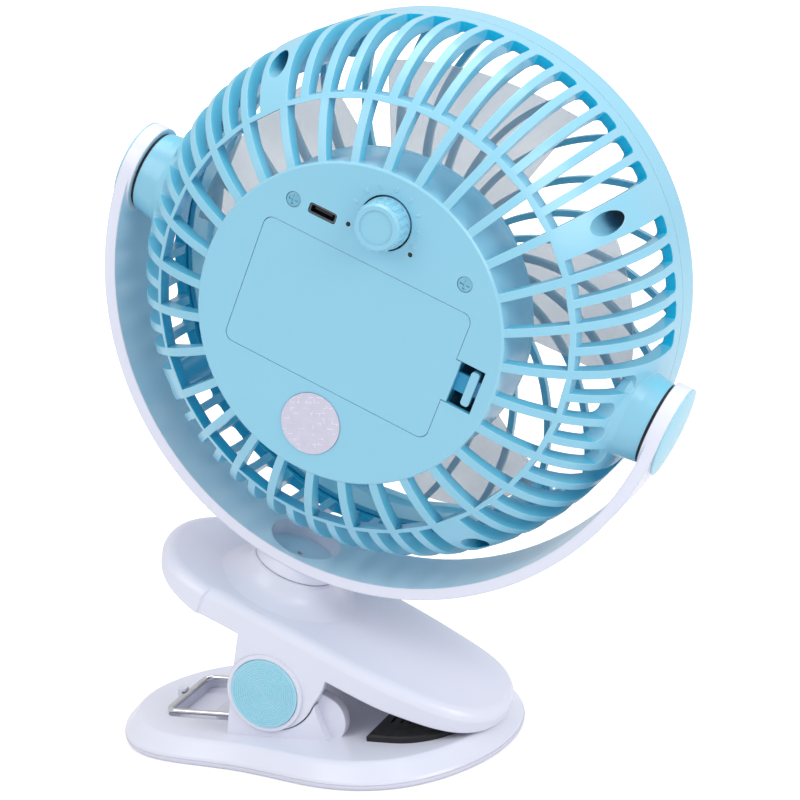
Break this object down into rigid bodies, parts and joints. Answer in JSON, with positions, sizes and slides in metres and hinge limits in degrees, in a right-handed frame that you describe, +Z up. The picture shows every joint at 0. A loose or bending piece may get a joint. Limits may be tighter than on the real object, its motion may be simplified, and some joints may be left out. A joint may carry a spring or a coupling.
{
  "type": "clip fan",
  "caption": "Battery desk fan in a round slotted cage, tilting in a half-ring yoke that swivels on a spring-loaded two-jaw clip.",
  "frame": {"origin": "centre of the clip's underside, on the surface the fan stands on", "axes": "+X from the clip's handle to its nose, +Z up, -Y is the side that the fan's back, knob and battery cover look to"},
  "size_m": [0.2012, 0.0949, 0.2292],
  "materials": {
    "grille_blue": "glossy light blue ABS",
    "drum_blue": "light blue ABS",
    "front_blue": "glossy light blue ABS",
    "clip_white": "glossy cool white ABS",
    "cover_white": "satin white ABS",
    "yoke_white": "glossy cool white ABS",
    "grip_rubber": "matte black rubber",
    "washer_black": "black rubber",
    "spring_steel": "bright drawn wire",
    "pin_steel": "turned steel",
    "screw_steel": "zinc plated",
    "blade_clear": "frosted translucent plastic",
    "motor_steel": "zinc plated can",
    "cell_wrap": "shrink wrap",
    "contact_nickel": "nickel plated",
    "board_green": "solder mask",
    "pot_black": "moulded black",
    "socket_steel": "stamped steel",
    "light_lens": "dark clear lens",
    "badge_silver": "satin silver foil"
  },
  "bodies": {
    "clip_base": {"lower_jaw": "clip_white", "lower_jaw_cover": "cover_white", "base_screws": "screw_steel", "lower_jaw_pad": "grip_rubber", "hinge_pin": "pin_steel", "jaw_spring": "spring_steel"},
    "clip_upper": {"upper_jaw": "clip_white", "upper_jaw_pad": "grip_rubber", "hinge_cap_near": "grille_blue", "hinge_cap_far": "grille_blue"},
    "yoke": {"yoke_bracket": "yoke_white", "yoke_cap_left": "grille_blue", "yoke_cap_right": "grille_blue", "swivel_screw": "screw_steel", "swivel_washer": "screw_steel"},
    "fan_head": {"rear_grille": "grille_blue", "front_grille": "front_blue", "cage_screws": "screw_steel", "motor_housing": "drum_blue", "motor": "motor_steel", "motor_screws": "screw_steel", "housing_screws": "screw_steel", "battery_cell_upper": "cell_wrap", "battery_cell_lower": "cell_wrap", "battery_contacts": "contact_nickel", "circuit_board": "board_green", "speed_potentiometer": "pot_black", "usb_socket": "socket_steel", "charge_lights": "light_lens", "back_badge": "badge_silver", "pivot_screws": "screw_steel", "friction_washer_left": "washer_black", "friction_washer_right": "washer_black"},
    "impeller": {"fan_blade": "blade_clear", "motor_shaft": "pin_steel"},
    "knob": {"speed_knob": "grille_blue"},
    "cover": {"battery_cover": "grille_blue"},
    "cover_latch": {"battery_cover_latch": "grille_blue"}
  },
  "joints": [
    {"name": "jaw_hinge", "type": "hinge", "parent": "clip_base", "child": "clip_upper", "pos_m": [-0.0042, 0, 0.0227], "axis": [0, -1, 0], "range_deg": [0, 35], "stiffness_Nm_per_rad": 0.8, "springref_deg": -57.3, "deforming": ["jaw_spring"]},
    {"name": "yoke_swivel", "type": "hinge", "parent": "clip_upper", "child": "yoke", "pos_m": [0.0424, 0, 0.1452], "axis": [0.4493, 0, 0.8934], "continuous": true},
    {"name": "head_tilt", "type": "hinge", "parent": "yoke", "child": "fan_head", "pos_m": [0.0424, 0, 0.1452], "axis": [0.8934, 0, -0.4493], "continuous": true},
    {"name": "fan_spin", "type": "hinge", "parent": "fan_head", "child": "impeller", "pos_m": [0.0424, 0, 0.1452], "axis": [0, -1, 0], "continuous": true},
    {"name": "knob_turn", "type": "hinge", "parent": "fan_head", "child": "knob", "pos_m": [0.05768, -0.042, 0.17558], "axis": [0, 1, 0], "range_deg": [0, 270]},
    {"name": "battery_cover_hinge", "type": "hinge", "parent": "fan_head", "child": "cover", "pos_m": [0.01102, -0.04, 0.16037], "axis": [-0.4493, 0, -0.8934], "range_deg": [0, 100]},
    {"name": "latch_slide", "type": "slide", "parent": "cover", "child": "cover_latch", "axis": [-0.8934, 0, 0.4493], "range_m": [0, 0.0015], "stiffness_N_per_m": 300, "springref_m": -0.0005}
  ]
}
